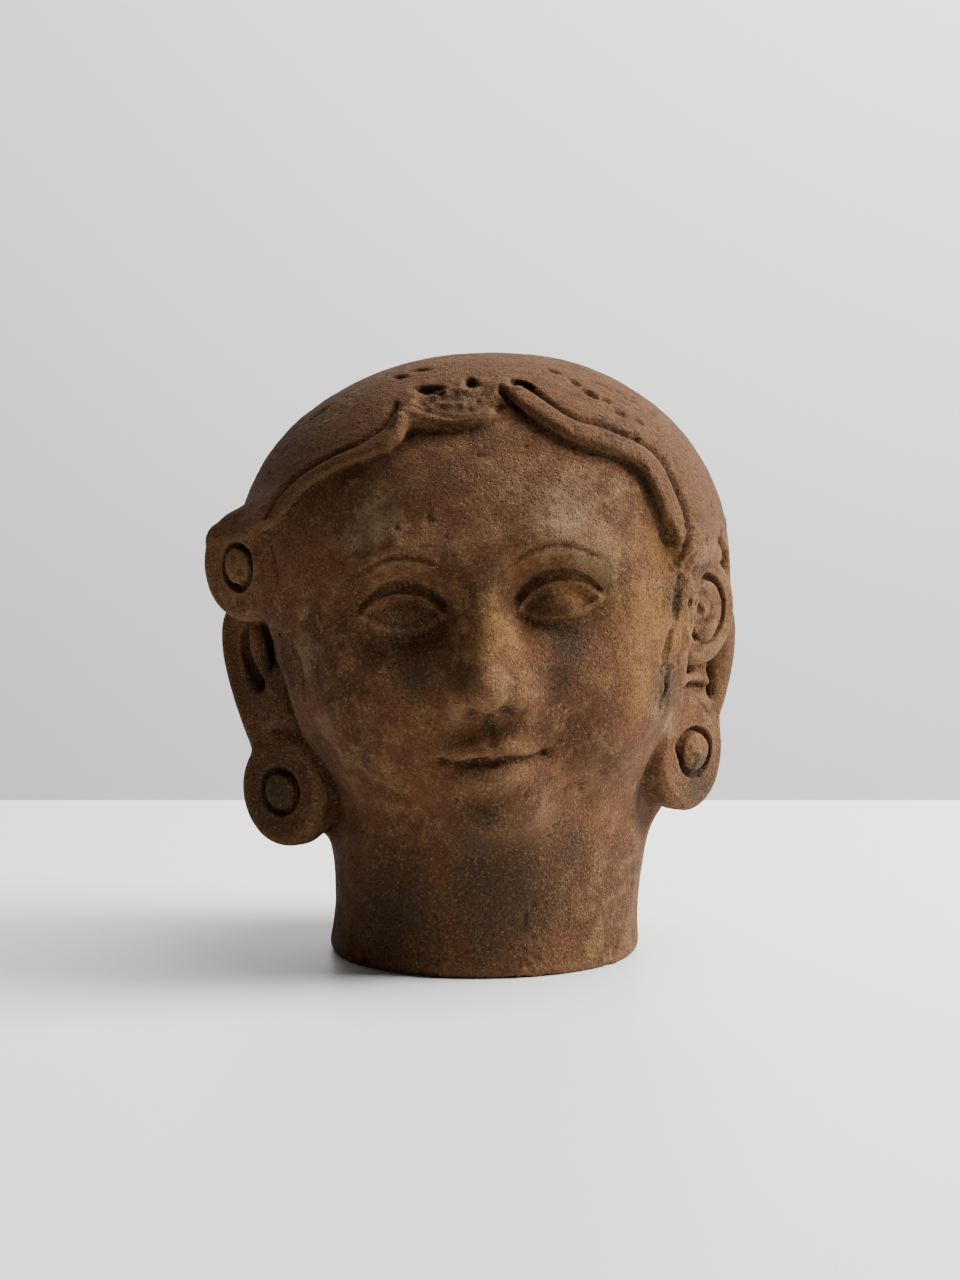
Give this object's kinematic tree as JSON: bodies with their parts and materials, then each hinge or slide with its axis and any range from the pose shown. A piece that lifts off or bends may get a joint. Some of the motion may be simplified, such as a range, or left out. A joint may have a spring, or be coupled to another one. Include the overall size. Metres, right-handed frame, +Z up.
{
  "type": "terracotta head",
  "caption": "Fired-clay head on a short neck cut flat, with a cap of hair, hanging ears and stamped round ear ornaments. It stands on its own underside.",
  "frame": {"origin": "middle of the flat underside of the neck, on the surface that the head stands on", "axes": "+Z up, the face looks towards -Y, +X is to the right as the viewer sees the face"},
  "size_m": [0.1326, 0.1229, 0.1502],
  "materials": {
    "terracotta": "matt"
  },
  "bodies": {
    "root": {"terracotta_head": "terracotta"}
  },
  "joints": []
}
